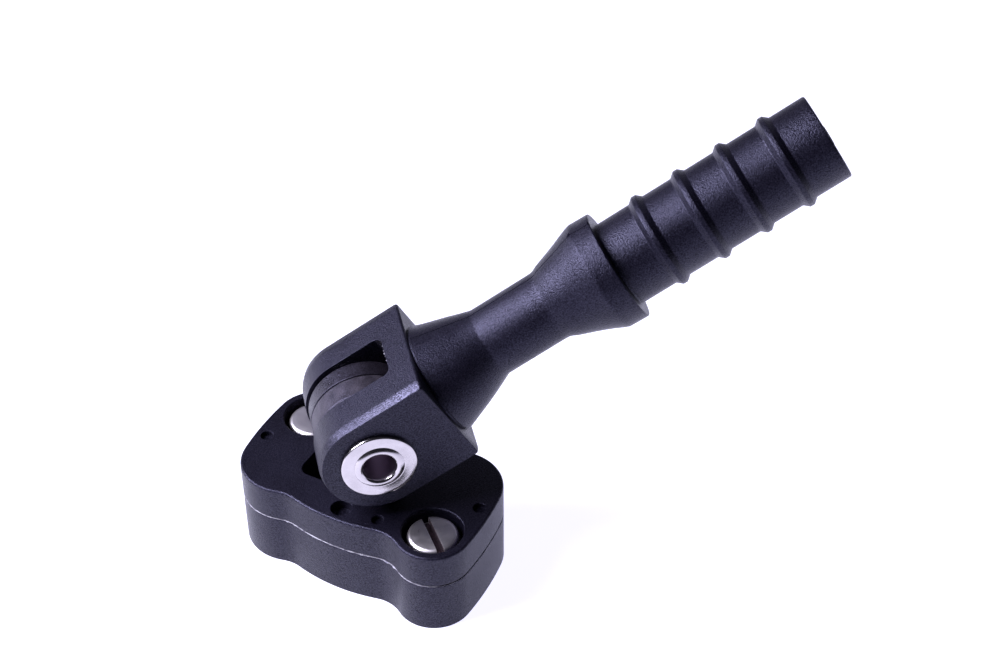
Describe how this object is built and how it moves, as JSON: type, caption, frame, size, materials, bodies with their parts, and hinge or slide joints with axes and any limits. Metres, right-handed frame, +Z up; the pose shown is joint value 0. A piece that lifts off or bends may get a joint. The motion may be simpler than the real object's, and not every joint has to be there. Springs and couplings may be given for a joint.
{
  "type": "hinged tube-end joint",
  "caption": "Two-axis tube-end joint: screwed base with a swivel post, and a clevis arm on a hollow rivet ending in a ribbed spigot that pushes into a tube.",
  "frame": {"origin": "centre of the base's flat underside, below the pivot", "axes": "+Z up, away from the surface the base stands on; +X along the base's long side; +Y across the base, towards the side over which the arm leans at rest"},
  "size_m": [0.1189, 0.0968, 0.1098],
  "materials": {
    "black_nylon": "satin moulded glass-filled nylon with a fine grain",
    "grey_nylon": "matt moulded nylon, rubbed slightly grey",
    "polished_steel": "polished stainless steel with fine turned rings",
    "satin_steel": "satin stainless steel"
  },
  "bodies": {
    "base": {"base_block": "black_nylon", "top_plate": "black_nylon", "screw_front": "satin_steel", "screw_rear": "satin_steel", "nut_front": "satin_steel", "nut_rear": "satin_steel"},
    "swivel": {"swivel_post_front": "grey_nylon", "swivel_post_rear": "grey_nylon"},
    "arm": {"clevis_arm": "black_nylon", "pivot_tube": "polished_steel", "pivot_washer_front": "polished_steel", "pivot_washer_rear": "polished_steel"}
  },
  "joints": [
    {"name": "post_swivel", "type": "hinge", "parent": "base", "child": "swivel", "pos_m": [0, 0, 0.0117], "axis": [0, 0, 1], "continuous": true},
    {"name": "arm_hinge", "type": "hinge", "parent": "swivel", "child": "arm", "pos_m": [0, 0, 0.039], "axis": [0.6521, -0.7581, 0], "range_deg": [-40, 158.6]}
  ]
}
